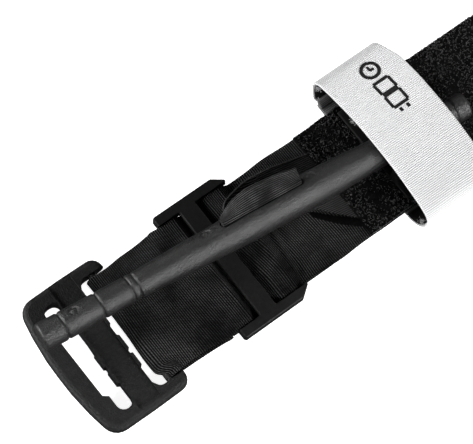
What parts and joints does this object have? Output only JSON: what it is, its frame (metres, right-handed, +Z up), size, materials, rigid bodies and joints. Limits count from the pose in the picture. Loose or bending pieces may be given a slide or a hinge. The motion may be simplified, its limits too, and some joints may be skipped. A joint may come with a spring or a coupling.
{
  "type": "tourniquet",
  "caption": "Windlass tourniquet lying flat: webbing band with a moulded buckle, threading plate, turning rod held by a clip and a closing strap, and its spare band folded behind.",
  "frame": {"origin": "on the underside of the band, on its centre line, under the middle of the rod's slot", "axes": "+X along the band from the buckle to the spare length, +Y across the band, +Z up, away from the limb"},
  "size_m": [0.3699, 0.0553, 0.0196],
  "materials": {
    "black_plastic": "fine moulded texture, satin",
    "rod_plastic": "fine moulded texture, satin",
    "black_webbing": "ribbed woven nylon",
    "black_ribbon": "fine ribbed woven nylon",
    "black_pile": "looped pile of a hook-and-loop face",
    "black_hook_lining": "hook side of a hook-and-loop patch",
    "white_webbing": "fine plain weave, matte",
    "black_thread": "dense satin stitching"
  },
  "bodies": {
    "band": {"buckle_webbing": "black_webbing", "band_backing": "black_webbing", "tension_ribbon": "black_ribbon", "band_pile_face": "black_pile", "ribbon_pleats": "black_ribbon", "threading_plate": "black_plastic", "windlass_clip": "black_plastic", "strap_base": "white_webbing", "clip_tack_left": "black_thread", "clip_tack_right": "black_thread"},
    "windlass": {"windlass_rod": "rod_plastic", "ribbon_loop": "black_ribbon"},
    "time_strap": {"strap_arch": "white_webbing", "hook_lining": "black_hook_lining"},
    "buckle": {"buckle_frame": "black_plastic"},
    "tail": {"tail_backing": "black_webbing", "tail_ribbon": "black_ribbon", "tail_pile_face": "black_pile", "tail_tip": "black_webbing", "tip_tack": "black_thread"}
  },
  "joints": [
    {"name": "windlass_turn", "type": "hinge", "parent": "band", "child": "windlass", "pos_m": [0, 0.00259, 0.011], "axis": [0, 0, 1], "range_deg": [0, 120]},
    {"name": "time_strap_open", "type": "hinge", "parent": "band", "child": "time_strap", "pos_m": [0.04945, -0.0262, 0.0062], "axis": [1, 0, 0], "range_deg": [0, 120]},
    {"name": "buckle_swing", "type": "hinge", "parent": "band", "child": "buckle", "pos_m": [-0.0507, 0, 0.0027], "axis": [0, 1, 0], "range_deg": [-90, 4]},
    {"name": "tail_bend", "type": "hinge", "parent": "band", "child": "tail", "pos_m": [0.094, 0, 0.0036], "axis": [0, -1, 0], "range_deg": [0, 75]}
  ],
  "couplings": [
    {"joint": "time_strap_open", "follows": "windlass_turn", "ratio": 1}
  ]
}
